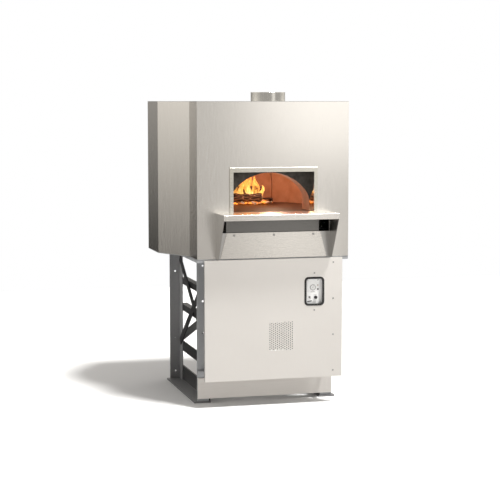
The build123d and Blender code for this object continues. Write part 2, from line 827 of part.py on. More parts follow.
with BuildPart() as service_panel:
    with BuildSketch(front_plane(panel_face)):
        with Locations((0, panel_middle)):
            Rectangle(stand_width, panel_height)
    extrude(amount=-panel_proud)
    corners = service_panel.edges().filter_by(Axis.Z).group_by(Axis.Y)[0]
    fillet(corners, panel_sheet * 0.75)
    with BuildSketch(front_plane(panel_inside)):
        with Locations((0, panel_middle)):
            Rectangle(stand_width - 2 * panel_sheet, panel_height - 2 * panel_sheet)
    extrude(amount=-(panel_proud - panel_sheet), mode=Mode.SUBTRACT)
    with BuildSketch(front_plane(panel_face)):
        with Locations((window_across, window_up)):
            RectangleRounded(cut_width, cut_height, cut_corner)
        with Locations((vent_across, vent_up)):
            Rectangle(vent_width, vent_height)
        with Locations(*panel_screw_places):
            Circle(3.4)
    extrude(amount=-panel_sheet, mode=Mode.SUBTRACT)
finish(service_panel, "service_panel")

# The vent is a field of small holes in staggered rows, punched in its own welded-in patch.
vent_rows = int((vent_height - vent_pitch) / (vent_pitch * sin(radians(60)))) + 1
vent_columns = int((vent_width - 1.5 * vent_pitch) / vent_pitch)
with BuildPart() as vent_insert:
    with BuildSketch(front_plane(panel_face)):
        with Locations((vent_across, vent_up)):
            Rectangle(vent_width, vent_height)
            with HexLocations(vent_pitch / 2, vent_columns, vent_rows):
                Circle(vent_hole / 2, mode=Mode.SUBTRACT)
    extrude(amount=-panel_sheet)
finish(vent_insert, "vent_insert")

panel_fixings = screws(panel_screw_places, panel_face, 5.5, 2.6, screw_shank, panel_sheet + screw_bite)

# ---- controls -----------------------------------------------------------------------------

gasket_inner_width = window_width - 2 * gasket_wide
gasket_inner_height = window_height - 2 * gasket_wide
gasket_corner = window_corner - gasket_wide
flange_sheet = 1.5
flange_back = panel_inside + flange_sheet
with BuildPart() as window_gasket:
    with BuildSketch(front_plane(panel_face - gasket_lip)):
        with Locations((window_across, window_up)):
            RectangleRounded(window_width, window_height, window_corner)
    extrude(amount=-gasket_lip)
    front_rim = window_gasket.edges().group_by(Axis.Y)[0]
    fillet(front_rim, gasket_lip * 0.6)
    with BuildSketch(front_plane(panel_face)):
        with Locations((window_across, window_up)):
            RectangleRounded(cut_width, cut_height, cut_corner)
    extrude(amount=-(panel_sheet + flange_sheet))
    with BuildSketch(front_plane(panel_face - gasket_lip)):
        with Locations((window_across, window_up)):
            RectangleRounded(gasket_inner_width, gasket_inner_height, gasket_corner)
    extrude(amount=-(gasket_lip + panel_sheet + flange_sheet), mode=Mode.SUBTRACT)
finish(window_gasket, "window_gasket")

face_front = panel_inside + 20.0
face_sheet = 2.0
housing_depth = 70.0
housing_sheet = 1.5
face_width = window_width - 8.0
face_height = window_height - 8.0
with BuildPart() as control_housing:
    with BuildSketch(front_plane(panel_inside)):
        with Locations((window_across, window_up)):
            Rectangle(window_width + 10.0, 2 * 118.0 + 24.0)
            RectangleRounded(cut_width, cut_height, cut_corner, mode=Mode.SUBTRACT)
        with Locations(*strap_screws):
            Circle(3.4, mode=Mode.SUBTRACT)
    extrude(amount=-flange_sheet)
    with BuildSketch(front_plane(flange_back)):
        with Locations((window_across, window_up)):
            Rectangle(face_width + 2 * housing_sheet, face_height + 2 * housing_sheet)
            Rectangle(face_width, face_height, mode=Mode.SUBTRACT)
    extrude(amount=-housing_depth)
    with BuildSketch(front_plane(flange_back + housing_depth)):
        with Locations((window_across, window_up)):
            Rectangle(face_width + 2 * housing_sheet, face_height + 2 * housing_sheet)
    extrude(amount=-housing_sheet)
finish(control_housing, "control_housing")

knob_place = (window_across + 14.0, window_up - 41.0)
toggle_place = (window_across - 25.0, window_up - 39.0)
gauge_place = (window_across - 3.0, window_up + 22.0)
lamp_place = (window_across + 29.0, window_up + 35.0)
button_place = (window_across + 29.0, window_up + 10.0)
face_screw_places = [(window_across + x, window_up + 68.0) for x in (-37.0, 29.0)]
shaft_radius = 3.0
toggle_bush = 6.5
bush_bore = 4.6
button_radius = 4.5
lamp_radius = 4.0
gauge_radius = 17.0
with BuildPart() as control_face:
    with BuildSketch(front_plane(face_front)):
        with Locations((window_across, window_up)):
            Rectangle(face_width, face_height)
        with Locations(knob_place):
            Circle(shaft_radius + running_gap, mode=Mode.SUBTRACT)
        with Locations(toggle_place):
            Circle(bush_bore, mode=Mode.SUBTRACT)
        with Locations(button_place):
            Circle(button_radius + running_gap, mode=Mode.SUBTRACT)
        with Locations(lamp_place):
            Circle(lamp_radius, mode=Mode.SUBTRACT)
        with Locations(gauge_place):
            Circle(gauge_radius, mode=Mode.SUBTRACT)
        with Locations(*face_screw_places):
            Circle(1.8, mode=Mode.SUBTRACT)
    extrude(amount=-face_sheet)
finish(control_face, "control_face")

with BuildPart() as gauge:
    with BuildSketch(front_plane(face_front)):
        with Locations(gauge_place):
            Circle(gauge_radius)
    extrude(amount=-18.0)
    with BuildSketch(front_plane(face_front - 1.5)):
        with Locations(gauge_place):
            Circle(gauge_radius + 1.5)
            Circle(gauge_radius - 1.5, mode=Mode.SUBTRACT)
    extrude(amount=-1.5)
finish(gauge, "gauge")

with BuildPart() as status_lamp:
    with BuildSketch(front_plane(face_front)):
        with Locations(lamp_place):
            Circle(lamp_radius)
    extrude(amount=-12.0)
    with BuildSketch(front_plane(face_front)):
        with Locations(lamp_place):
            Circle(lamp_radius)
    extrude(amount=2.5)
    fillet(status_lamp.edges().group_by(Axis.Y)[0], 1.6)
finish(status_lamp, "status_lamp")

face_fixings = screws(face_screw_places, face_front, 3.4, 1.6, 1.7, face_sheet + 4.0)
with BuildPart() as pan_head_screws:
    for group in (cover_fixings, panel_fixings, face_fixings):
        add(group.part)
finish(pan_head_screws, "pan_head_screws")

# The selector knob turns on a shaft that passes through the face.
knob_gap = 0.5
knob_height = 11.0
with BuildPart() as selector_knob:
    with BuildSketch(front_plane(face_front - knob_gap)):
        with Locations(knob_place):
            Circle(knob_radius)
    extrude(amount=knob_height)
    fillet(selector_knob.edges().group_by(Axis.Y)[0], 1.2)
    with BuildSketch(front_plane(face_front - knob_gap)):
        with Locations(knob_place):
            Circle(shaft_radius)
    extrude(amount=-(knob_gap + face_sheet + 14.0))
    with BuildSketch(front_plane(face_front - knob_gap - knob_height)):
        with Locations((knob_place[0], knob_place[1] + knob_radius * 0.5)):
            Rectangle(1.6, knob_radius * 0.8)
    extrude(amount=-0.8, mode=Mode.SUBTRACT)
finish(selector_knob, "selector_knob")

# The toggle's lever swings in a bush that stands on the face.
bush_height = 4.0
with BuildPart() as toggle_bezel:
    with BuildSketch(front_plane(face_front)):
        with Locations(toggle_place):
            Circle(toggle_bush)
            Circle(bush_bore, mode=Mode.SUBTRACT)
    extrude(amount=bush_height)
finish(toggle_bezel, "toggle_bezel")

toggle_tilt = 14.0
lever_radius = 1.8
lever_length = 17.0
ball_radius = 3.4
lever_root = Plane(
    origin=(toggle_place[0], depth(face_front), toggle_place[1]),
    z_dir=(0, -cos(radians(toggle_tilt)), -sin(radians(toggle_tilt))),
)
with BuildPart() as toggle_lever:
    with Locations(lever_root):
        Sphere(ball_radius)
    with BuildSketch(lever_root):
        Circle(lever_radius)
    extrude(amount=lever_length)
    with Locations(lever_root.offset(lever_length)):
        Sphere(lever_radius * 1.35)
finish(toggle_lever, "toggle_lever")

button_travel = 2.5
with BuildPart() as reset_button:
    with BuildSketch(front_plane(face_front - button_travel - 1.5)):
        with Locations(button_place):
            Circle(button_radius)
    extrude(amount=-(button_travel + 1.5 + face_sheet + 6.0))
    fillet(reset_button.edges().group_by(Axis.Y)[0], 1.0)
finish(reset_button, "reset_button")
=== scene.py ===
import bpy
from math import radians, sin
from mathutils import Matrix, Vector


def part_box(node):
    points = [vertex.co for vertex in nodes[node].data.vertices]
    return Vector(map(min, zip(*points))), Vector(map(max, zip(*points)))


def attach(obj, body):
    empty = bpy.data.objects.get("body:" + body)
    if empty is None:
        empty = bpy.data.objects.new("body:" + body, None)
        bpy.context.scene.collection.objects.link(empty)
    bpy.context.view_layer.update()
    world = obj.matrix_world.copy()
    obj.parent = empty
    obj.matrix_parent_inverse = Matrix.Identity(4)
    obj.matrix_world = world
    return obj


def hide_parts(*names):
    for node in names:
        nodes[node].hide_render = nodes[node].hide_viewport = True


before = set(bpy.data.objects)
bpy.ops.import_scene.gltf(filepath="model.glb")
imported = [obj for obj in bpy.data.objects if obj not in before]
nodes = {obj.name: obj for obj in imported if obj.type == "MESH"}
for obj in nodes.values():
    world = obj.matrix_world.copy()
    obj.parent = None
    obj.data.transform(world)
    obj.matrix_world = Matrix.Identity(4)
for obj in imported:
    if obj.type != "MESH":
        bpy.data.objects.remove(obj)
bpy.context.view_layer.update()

# ---- studio ----
# A white sweep under a high key light from the front right, with two soft boxes that the steel
# mirrors, a weak box overhead, and a sky that darkens downwards to give the steel its falloff.
scene = bpy.context.scene
scene.view_settings.view_transform = "Standard"

bpy.ops.object.select_all(action="DESELECT")
lens = bpy.data.cameras.new("camera")
lens.lens = 106.66
lens.sensor_width = 36.0
camera = bpy.data.objects.new("camera", lens)
scene.collection.objects.link(camera)
camera.location = (-2.5174, -9.3429, 1.9040)
camera.rotation_euler = (radians(84.27), 0.0, radians(-15.0))
scene.camera = camera

world = bpy.data.worlds.new("white_studio")
scene.world = world
world.use_nodes = True
sky = world.node_tree.nodes
wire = world.node_tree.links
sky.clear()
out = sky.new("ShaderNodeOutputWorld")
seen = sky.new("ShaderNodeBackground")
seen.inputs["Color"].default_value = (1.0, 1.0, 1.0, 1.0)
seen.inputs["Strength"].default_value = 1.0
around = sky.new("ShaderNodeBackground")
around.inputs["Strength"].default_value = 1.0
place = sky.new("ShaderNodeTexCoord")
turn = sky.new("ShaderNodeSeparateXYZ")
wire.new(place.outputs["Generated"], turn.inputs[0])
up = sky.new("ShaderNodeMapRange")
up.inputs["From Min"].default_value = -0.3
up.inputs["From Max"].default_value = 0.3
wire.new(turn.outputs["Z"], up.inputs["Value"])
rear_falloff = sky.new("ShaderNodeValToRGB")
front_falloff = sky.new("ShaderNodeValToRGB")
for ramp, dark_at, low, level, high in (
    (rear_falloff, 0.34, (0.03, 0.029, 0.028), (0.46, 0.44, 0.41), (0.85, 0.82, 0.78)),
    (front_falloff, 0.22, (0.40, 0.38, 0.36), (0.57, 0.555, 0.535), (0.66, 0.64, 0.615)),
):
    ramp.color_ramp.elements[0].position = dark_at
    ramp.color_ramp.elements[0].color = (*low, 1.0)
    ramp.color_ramp.elements[1].position = 0.85
    ramp.color_ramp.elements[1].color = (*high, 1.0)
    horizon = ramp.color_ramp.elements.new(0.5)
    horizon.color = (*level, 1.0)
    wire.new(up.outputs["Result"], ramp.inputs["Fac"])
behind = sky.new("ShaderNodeMapRange")
behind.inputs["From Min"].default_value = 0.4
behind.inputs["From Max"].default_value = 1.0
behind.inputs["To Min"].default_value = 2.15
behind.inputs["To Max"].default_value = 0.62
wire.new(turn.outputs["Y"], behind.inputs["Value"])
dim = sky.new("ShaderNodeVectorMath")
dim.operation = "SCALE"
wire.new(rear_falloff.outputs["Color"], dim.inputs[0])
wire.new(behind.outputs["Result"], dim.inputs["Scale"])
facing = sky.new("ShaderNodeMapRange")
facing.inputs["From Min"].default_value = -0.35
facing.inputs["From Max"].default_value = 0.25
wire.new(turn.outputs["Y"], facing.inputs["Value"])
both = sky.new("ShaderNodeMix")
both.data_type = "RGBA"
wire.new(facing.outputs["Result"], both.inputs[0])
wire.new(front_falloff.outputs["Color"], both.inputs[6])
wire.new(dim.outputs[0], both.inputs[7])
wire.new(both.outputs[2], around.inputs["Color"])
ray = sky.new("ShaderNodeLightPath")
soften = sky.new("ShaderNodeMapRange")
soften.inputs["To Min"].default_value = 1.0
soften.inputs["To Max"].default_value = 0.36
wire.new(ray.outputs["Is Diffuse Ray"], soften.inputs["Value"])
wire.new(soften.outputs["Result"], around.inputs["Strength"])
pick = sky.new("ShaderNodeMixShader")
wire.new(ray.outputs["Is Camera Ray"], pick.inputs["Fac"])
wire.new(around.outputs[0], pick.inputs[1])
wire.new(seen.outputs[0], pick.inputs[2])
wire.new(pick.outputs[0], out.inputs["Surface"])


def soft_box(name, place, aim, width, tall, power, tint=(1.0, 0.98, 0.95)):
    lamp = bpy.data.lights.new(name, "AREA")
    lamp.shape = "RECTANGLE"
    lamp.size = width
    lamp.size_y = tall
    lamp.energy = power
    lamp.color = tint
    box = bpy.data.objects.new(name, lamp)
    scene.collection.objects.link(box)
    box.location = place
    box.rotation_euler = (Vector(aim) - Vector(place)).to_track_quat("-Z", "Y").to_euler()
    box.visible_camera = False
    return box


soft_box("front_right_box", (1.65, -4.4, 2.05), (0.3, -0.5, 1.6), 1.4, 1.35, 6.2)
soft_box("low_box", (1.3, -4.4, 0.64), (0.2, -0.5, 0.9), 0.7, 0.5, 1.3)
overhead = soft_box("overhead_box", (0.6, -1.8, 5.5), (0.0, 0.0, 0.0), 4.0, 4.0, 60)
overhead.visible_glossy = False
sunlight = bpy.data.lights.new("key_light", "SUN")
sunlight.energy = 4.1
sunlight.angle = radians(9.0)
sunlight.color = (1.0, 0.99, 0.97)
key = bpy.data.objects.new("key_light", sunlight)
scene.collection.objects.link(key)
key.rotation_euler = Vector((-0.24, 0.32, -0.92)).to_track_quat("-Z", "Y").to_euler()

bpy.ops.mesh.primitive_plane_add(size=1.0, location=(0.0, 0.0, 0.0))
floor = bpy.context.object
floor.name = "floor"
floor.scale = (30.0, 22.0, 1.0)
floor.location = (0.0, -5.5, -0.0005)
floor_white = bpy.data.materials.new("floor_white")
floor_white.use_nodes = True
floor_white.node_tree.nodes["Principled BSDF"].inputs["Base Color"].default_value = (0.93, 0.93, 0.93, 1.0)
floor_white.node_tree.nodes["Principled BSDF"].inputs["Roughness"].default_value = 0.9
floor.data.materials.append(floor_white)
floor.visible_glossy = False

# ---- casing ----
# The casing is folded from brushed stainless sheet: a flat facade with side returns, and one
# bent sheet on each side of an eight-sided body. The grain runs up the sheets.
def finish_nodes(material, *names):
    for name in names:
        nodes[name].data.materials.clear()
        nodes[name].data.materials.append(material)


def brushed_steel(name, colour, rough, grain, tone=0.05, metal=1.0, bump=0.02):
    """Brushed stainless whose grain runs along the axis with the small scale in grain."""
    steel = bpy.data.materials.new(name)
    steel.use_nodes = True
    tree = steel.node_tree
    shade = tree.nodes["Principled BSDF"]
    shade.inputs["Metallic"].default_value = metal
    where = tree.nodes.new("ShaderNodeTexCoord")
    lay = tree.nodes.new("ShaderNodeMapping")
    lay.inputs["Scale"].default_value = grain
    tree.links.new(where.outputs["Object"], lay.inputs["Vector"])
    hair = tree.nodes.new("ShaderNodeTexNoise")
    hair.inputs["Scale"].default_value = 1.0
    hair.inputs["Detail"].default_value = 6.0
    hair.inputs["Roughness"].default_value = 0.7
    tree.links.new(lay.outputs["Vector"], hair.inputs["Vector"])
    cloud = tree.nodes.new("ShaderNodeTexNoise")
    cloud.inputs["Scale"].default_value = 1.6
    cloud.inputs["Detail"].default_value = 3.0
    tree.links.new(where.outputs["Object"], cloud.inputs["Vector"])
    blend = tree.nodes.new("ShaderNodeMix")
    blend.inputs["Factor"].default_value = 0.35
    tree.links.new(hair.outputs["Fac"], blend.inputs["A"])
    tree.links.new(cloud.outputs["Fac"], blend.inputs["B"])
    shades = tree.nodes.new("ShaderNodeValToRGB")
    shades.color_ramp.elements[0].position = 0.3
    shades.color_ramp.elements[1].position = 0.7
    shades.color_ramp.elements[0].color = (*[c * (1 - tone) for c in colour], 1.0)
    shades.color_ramp.elements[1].color = (*[min(1.0, c * (1 + tone)) for c in colour], 1.0)
    tree.links.new(blend.outputs["Result"], shades.inputs["Fac"])
    tree.links.new(shades.outputs["Color"], shade.inputs["Base Color"])
    gloss = tree.nodes.new("ShaderNodeMapRange")
    gloss.inputs["From Min"].default_value = 0.3
    gloss.inputs["From Max"].default_value = 0.7
    gloss.inputs["To Min"].default_value = rough * 0.85
    gloss.inputs["To Max"].default_value = rough * 1.15
    tree.links.new(hair.outputs["Fac"], gloss.inputs["Value"])
    tree.links.new(gloss.outputs["Result"], shade.inputs["Roughness"])
    ridge = tree.nodes.new("ShaderNodeBump")
    ridge.inputs["Strength"].default_value = bump
    ridge.inputs["Distance"].default_value = 0.0004
    tree.links.new(hair.outputs["Fac"], ridge.inputs["Height"])
    tree.links.new(ridge.outputs["Normal"], shade.inputs["Normal"])
    return steel


casing_steel = brushed_steel("casing_steel", (0.80, 0.775, 0.735), 0.25, (900.0, 900.0, 9.0))
finish_nodes(casing_steel, "facade_shell", "casing_wrap_left", "casing_wrap_right", "back_panel")
roof_steel = brushed_steel("roof_steel", (0.50, 0.49, 0.47), 0.36, (900.0, 9.0, 900.0))
finish_nodes(roof_steel, "top_panel")
galvanised = brushed_steel("galvanised_steel", (0.50, 0.51, 0.52), 0.45, (60.0, 60.0, 60.0), tone=0.22)
finish_nodes(galvanised, "bottom_pan", "hearth_deck", "plenum_hood", "control_housing")
# The beam behind the slot under the mantle is coloured far darker than galvanised sheet: painted shade
# standing for the shade in that slot.
shaded_beam_steel = brushed_steel("shaded_beam_steel", (0.23, 0.225, 0.215), 0.30, (9.0, 900.0, 900.0), tone=0.12)
finish_nodes(shaded_beam_steel, "mantle_beam")

# ---- flue collar ----
# A short rolled tube of stainless, with a rolled bead round its rim.
collar_low, collar_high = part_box("flue_collar")
collar_axis = (collar_low + collar_high) / 2
collar_radius = 0.1075
collar_steel = brushed_steel("collar_steel", (0.60, 0.585, 0.545), 0.26, (260.0, 260.0, 4.0), tone=0.16)
finish_nodes(collar_steel, "flue_collar")

bpy.ops.object.select_all(action="DESELECT")
bpy.ops.mesh.primitive_torus_add(
    location=(collar_axis.x, collar_axis.y, collar_high.z - 0.0022), align="WORLD",
    major_radius=collar_radius - 0.0012, minor_radius=0.0022, major_segments=96, minor_segments=12,
)
bead = bpy.context.object
bead.name = "collar_bead"
bpy.ops.object.transform_apply(location=True, rotation=True, scale=True)
bpy.ops.object.shade_smooth()
bead.data.materials.append(collar_steel)
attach(bead, "oven")

# ---- doorway ----
# A stainless frame stands round the opening. Polished liners join it to the dark steel plate
# on the face of the arch, and they mirror the mouth of the oven.
frame_steel = brushed_steel("frame_steel", (0.74, 0.715, 0.64), 0.27, (9.0, 900.0, 900.0))
finish_nodes(frame_steel, "door_frame")
liner_steel = brushed_steel(
    "liner_steel", (0.80, 0.77, 0.73), 0.07, (900.0, 900.0, 9.0), tone=0.02, bump=0.004,
)
finish_nodes(liner_steel, "jamb_liner_left", "jamb_liner_right")


def rough_coat(name, dark, light, rough, scale, metal=0.0, bump=0.25, depth=0.001, detail=8.0):
    """A coated or cast surface, mottled from dark to light."""
    coat = bpy.data.materials.new(name)
    coat.use_nodes = True
    tree = coat.node_tree
    shade = tree.nodes["Principled BSDF"]
    shade.inputs["Metallic"].default_value = metal
    where = tree.nodes.new("ShaderNodeTexCoord")
    spots = tree.nodes.new("ShaderNodeTexNoise")
    spots.inputs["Scale"].default_value = scale
    spots.inputs["Detail"].default_value = detail
    spots.inputs["Roughness"].default_value = 0.62
    tree.links.new(where.outputs["Object"], spots.inputs["Vector"])
    shades = tree.nodes.new("ShaderNodeValToRGB")
    shades.color_ramp.elements[0].position = 0.32
    shades.color_ramp.elements[1].position = 0.68
    shades.color_ramp.elements[0].color = (*dark, 1.0)
    shades.color_ramp.elements[1].color = (*light, 1.0)
    tree.links.new(spots.outputs["Fac"], shades.inputs["Fac"])
    tree.links.new(shades.outputs["Color"], shade.inputs["Base Color"])
    gloss = tree.nodes.new("ShaderNodeMapRange")
    gloss.inputs["To Min"].default_value = rough * 0.8
    gloss.inputs["To Max"].default_value = min(1.0, rough * 1.2)
    tree.links.new(spots.outputs["Fac"], gloss.inputs["Value"])
    tree.links.new(gloss.outputs["Result"], shade.inputs["Roughness"])
    ridge = tree.nodes.new("ShaderNodeBump")
    ridge.inputs["Strength"].default_value = bump
    ridge.inputs["Distance"].default_value = depth
    tree.links.new(spots.outputs["Fac"], ridge.inputs["Height"])
    tree.links.new(ridge.outputs["Normal"], shade.inputs["Normal"])
    return coat


scaled_steel = rough_coat(
    "heat_scaled_steel", (0.035, 0.032, 0.028), (0.10, 0.09, 0.08), 0.42, 22.0, metal=0.8,
)
finish_nodes(scaled_steel, "arch_face_plate")

# ---- mantle ----
# The mantle is one stainless sheet folded down at the front. Two welded gussets carry it, and
# a shallow tapered tray hangs from three screws over the access hole between them.
# The mantle sheet and the tray are coloured paler than the casing steel; on the tray this paleness is
# painted highlight for the light it catches.
mantle_steel = brushed_steel("mantle_steel", (0.88, 0.85, 0.80), 0.27, (9.0, 900.0, 900.0))
finish_nodes(mantle_steel, "mantle_shelf", "under_mantle_cover")
# The gussets are the same stainless as the casing but coloured darker: painted shade for their outer
# sides, which face away from the key light.
shaded_gusset_steel = brushed_steel("shaded_gusset_steel", (0.62, 0.61, 0.59), 0.30, (900.0, 900.0, 9.0), bump=0.01)
finish_nodes(shaded_gusset_steel, "gusset_left", "gusset_right")

# ---- oven core ----
# The dome is cast in segments of terracotta-coloured refractory on a refractory hearth. Soot
# and ash darken the hearth, and fibre blanket and board insulate it.
cast_refractory = rough_coat(
    "cast_refractory", (0.50, 0.26, 0.17), (0.68, 0.38, 0.26), 0.85, 9.0, bump=0.35, depth=0.003,
)
finish_nodes(cast_refractory, "mouth_crown", "mouth_arch", *[f"dome_segment_{k}" for k in range(1, 9)])
hearth_fired = rough_coat(
    "hearth_fired", (0.06, 0.034, 0.027), (0.15, 0.086, 0.06), 0.6, 14.0, bump=0.3, depth=0.002,
)
finish_nodes(hearth_fired, "hearth_slab")
fibre = rough_coat(
    "ceramic_fibre", (0.74, 0.72, 0.67), (0.9, 0.89, 0.86), 0.95, 60.0, bump=0.6, depth=0.003,
)
finish_nodes(fibre, "hearth_insulation", "insulation_blanket")

# ---- fire ----
# Split logs burn on a bed of embers, held in by a heavy steel guard.
logs_low, logs_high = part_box("firewood")
bed_low, bed_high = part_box("ember_bed")
guard_steel = rough_coat("guard_steel", (0.05, 0.045, 0.045), (0.10, 0.09, 0.085), 0.6, 30.0, metal=0.6)
finish_nodes(guard_steel, "log_guard")

charred = bpy.data.materials.new("charred_bark")
charred.use_nodes = True
tree = charred.node_tree
shade = tree.nodes["Principled BSDF"]
where = tree.nodes.new("ShaderNodeTexCoord")
lay = tree.nodes.new("ShaderNodeMapping")
lay.inputs["Scale"].default_value = (18.0, 70.0, 70.0)
tree.links.new(where.outputs["Object"], lay.inputs["Vector"])
bark = tree.nodes.new("ShaderNodeTexVoronoi")
bark.feature = "DISTANCE_TO_EDGE"
bark.inputs["Scale"].default_value = 1.0
tree.links.new(lay.outputs["Vector"], bark.inputs["Vector"])
bark_colours = tree.nodes.new("ShaderNodeValToRGB")
bark_colours.color_ramp.elements[0].color = (0.34, 0.29, 0.27, 1.0)
bark_colours.color_ramp.elements[0].position = 0.0
bark_colours.color_ramp.elements[1].color = (0.035, 0.022, 0.018, 1.0)
bark_colours.color_ramp.elements[1].position = 0.05
tree.links.new(bark.outputs["Distance"], bark_colours.inputs["Fac"])
tree.links.new(bark_colours.outputs["Color"], shade.inputs["Base Color"])
shade.inputs["Roughness"].default_value = 0.9
glow = tree.nodes.new("ShaderNodeValToRGB")
glow.color_ramp.elements[0].color = (1.0, 0.22, 0.03, 1.0)
glow.color_ramp.elements[0].position = 0.0
glow.color_ramp.elements[1].color = (0.0, 0.0, 0.0, 1.0)
glow.color_ramp.elements[1].position = 0.025
tree.links.new(bark.outputs["Distance"], glow.inputs["Fac"])
tree.links.new(glow.outputs["Color"], shade.inputs["Emission Color"])
shade.inputs["Emission Strength"].default_value = 0.9
ridge = tree.nodes.new("ShaderNodeBump")
ridge.inputs["Distance"].default_value = 0.006
tree.links.new(bark.outputs["Distance"], ridge.inputs["Height"])
tree.links.new(ridge.outputs["Normal"], shade.inputs["Normal"])

grain_lumps = bpy.data.textures.new("bark_lumps", "CLOUDS")
grain_lumps.noise_scale = 0.035


def burning_log(name, centre, radius, length, heading):
    bpy.ops.object.select_all(action="DESELECT")
    bpy.ops.mesh.primitive_cylinder_add(
        vertices=28, radius=radius, depth=length, location=centre,
        rotation=(0.0, radians(90.0), radians(heading)),
    )
    piece = bpy.context.object
    piece.name = name
    bpy.ops.object.transform_apply(location=True, rotation=True, scale=True)
    bpy.ops.object.mode_set(mode="EDIT")
    bpy.ops.mesh.select_all(action="SELECT")
    bpy.ops.mesh.subdivide(number_cuts=7)
    bpy.ops.object.mode_set(mode="OBJECT")
    lumps = piece.modifiers.new("lumps", "DISPLACE")
    lumps.texture = grain_lumps
    lumps.texture_coords = "LOCAL"
    lumps.strength = radius * 0.45
    lumps.mid_level = 0.62
    bpy.ops.object.modifier_apply(modifier="lumps")
    bpy.ops.object.shade_smooth()
    piece.data.materials.append(charred)
    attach(piece, "oven")
    return piece


log_low = bed_high.z + 0.030
log_radius = 0.032
top_radius = 0.026
fire_x = (logs_low.x + logs_high.x) / 2
fire_y = (logs_low.y + logs_high.y) / 2
log_front = burning_log(
    "log_front", (fire_x - 0.010, logs_low.y + log_radius, log_low), log_radius, 0.21, 0.0,
)
burning_log("log_rear", (fire_x, logs_high.y - log_radius, log_low), log_radius, 0.22, 0.0)
burning_log("log_top", (fire_x + 0.010, fire_y, log_low + 0.050), top_radius, 0.20, 8.0)
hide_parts("firewood")

bpy.ops.object.select_all(action="DESELECT")
bpy.ops.mesh.primitive_grid_add(
    x_subdivisions=90, y_subdivisions=80, size=1.0,
    location=((bed_low.x + bed_high.x) / 2, (bed_low.y + bed_high.y) / 2, bed_low.z + 0.0025),
)
coals = bpy.context.object
coals.name = "live_coals"
coals.scale = (bed_high.x - bed_low.x, bed_high.y - bed_low.y, 1.0)
bpy.ops.object.transform_apply(location=True, rotation=True, scale=True)
coal_cells = bpy.data.textures.new("coal_cells", "VORONOI")
coal_cells.noise_scale = 0.026
heap = coals.modifiers.new("heap", "DISPLACE")
heap.texture = coal_cells
heap.strength = 0.026
heap.mid_level = 0.0
bpy.ops.object.modifier_apply(modifier="heap")
bpy.ops.object.mode_set(mode="EDIT")
bpy.ops.mesh.select_all(action="SELECT")
bpy.ops.mesh.extrude_region_move(TRANSFORM_OT_translate={"value": (0.0, 0.0, -0.002)})
bpy.ops.mesh.select_all(action="SELECT")
bpy.ops.mesh.normals_make_consistent(inside=False)
bpy.ops.object.mode_set(mode="OBJECT")
embers = bpy.data.materials.new("glowing_embers")
embers.use_nodes = True
tree = embers.node_tree
shade = tree.nodes["Principled BSDF"]
where = tree.nodes.new("ShaderNodeTexCoord")
heat = tree.nodes.new("ShaderNodeTexNoise")
heat.inputs["Scale"].default_value = 42.0
heat.inputs["Detail"].default_value = 6.0
tree.links.new(where.outputs["Object"], heat.inputs["Vector"])
ash = tree.nodes.new("ShaderNodeValToRGB")
ash.color_ramp.elements[0].color = (0.05, 0.04, 0.04, 1.0)
ash.color_ramp.elements[0].position = 0.42
ash.color_ramp.elements[1].color = (0.66, 0.62, 0.60, 1.0)
ash.color_ramp.elements[1].position = 0.62
tree.links.new(heat.outputs["Fac"], ash.inputs["Fac"])
tree.links.new(ash.outputs["Color"], shade.inputs["Base Color"])
glow = tree.nodes.new("ShaderNodeValToRGB")
glow.color_ramp.elements[0].color = (1.0, 0.26, 0.03, 1.0)
glow.color_ramp.elements[0].position = 0.40
glow.color_ramp.elements[1].color = (0.0, 0.0, 0.0, 1.0)
glow.color_ramp.elements[1].position = 0.50
tree.links.new(heat.outputs["Fac"], glow.inputs["Fac"])
tree.links.new(glow.outputs["Color"], shade.inputs["Emission Color"])
shade.inputs["Emission Strength"].default_value = 3.0
shade.inputs["Roughness"].default_value = 0.95
coals.data.materials.append(embers)
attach(coals, "oven")
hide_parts("ember_bed")

flame = bpy.data.materials.new("flame")
flame.use_nodes = True
tree = flame.node_tree
shade = tree.nodes["Principled BSDF"]
shade.inputs["Roughness"].default_value = 1.0
shade.inputs["Specular IOR Level"].default_value = 0.0
where = tree.nodes.new("ShaderNodeTexCoord")
rise = tree.nodes.new("ShaderNodeSeparateXYZ")
tree.links.new(where.outputs["Object"], rise.inputs[0])
climb = tree.nodes.new("ShaderNodeMapRange")
climb.inputs["From Min"].default_value = bed_high.z
climb.inputs["From Max"].default_value = bed_high.z + 0.27
tree.links.new(rise.outputs["Z"], climb.inputs["Value"])
lick = tree.nodes.new("ShaderNodeTexNoise")
lick.inputs["Scale"].default_value = 1.0
lick.inputs["Detail"].default_value = 5.0
lick.inputs["Distortion"].default_value = 0.6
streak = tree.nodes.new("ShaderNodeMapping")
streak.inputs["Scale"].default_value = (42.0, 42.0, 13.0)
tree.links.new(where.outputs["Object"], streak.inputs["Vector"])
tree.links.new(streak.outputs["Vector"], lick.inputs["Vector"])
mixed = tree.nodes.new("ShaderNodeMath")
mixed.operation = "MULTIPLY_ADD"
mixed.inputs[1].default_value = 1.5
tree.links.new(lick.outputs["Fac"], mixed.inputs[0])
lower = tree.nodes.new("ShaderNodeMath")
lower.operation = "SUBTRACT"
lower.inputs[1].default_value = 0.62
tree.links.new(climb.outputs["Result"], lower.inputs[0])
tree.links.new(lower.outputs["Value"], mixed.inputs[2])
hot = tree.nodes.new("ShaderNodeValToRGB")
hot.color_ramp.elements[0].position = 0.05
hot.color_ramp.elements[0].color = (1.0, 0.86, 0.42, 1.0)
hot.color_ramp.elements[1].position = 0.85
hot.color_ramp.elements[1].color = (0.95, 0.36, 0.08, 1.0)
middle = hot.color_ramp.elements.new(0.4)
middle.color = (1.0, 0.60, 0.14, 1.0)
tree.links.new(mixed.outputs["Value"], hot.inputs["Fac"])
tree.links.new(hot.outputs["Color"], shade.inputs["Emission Color"])
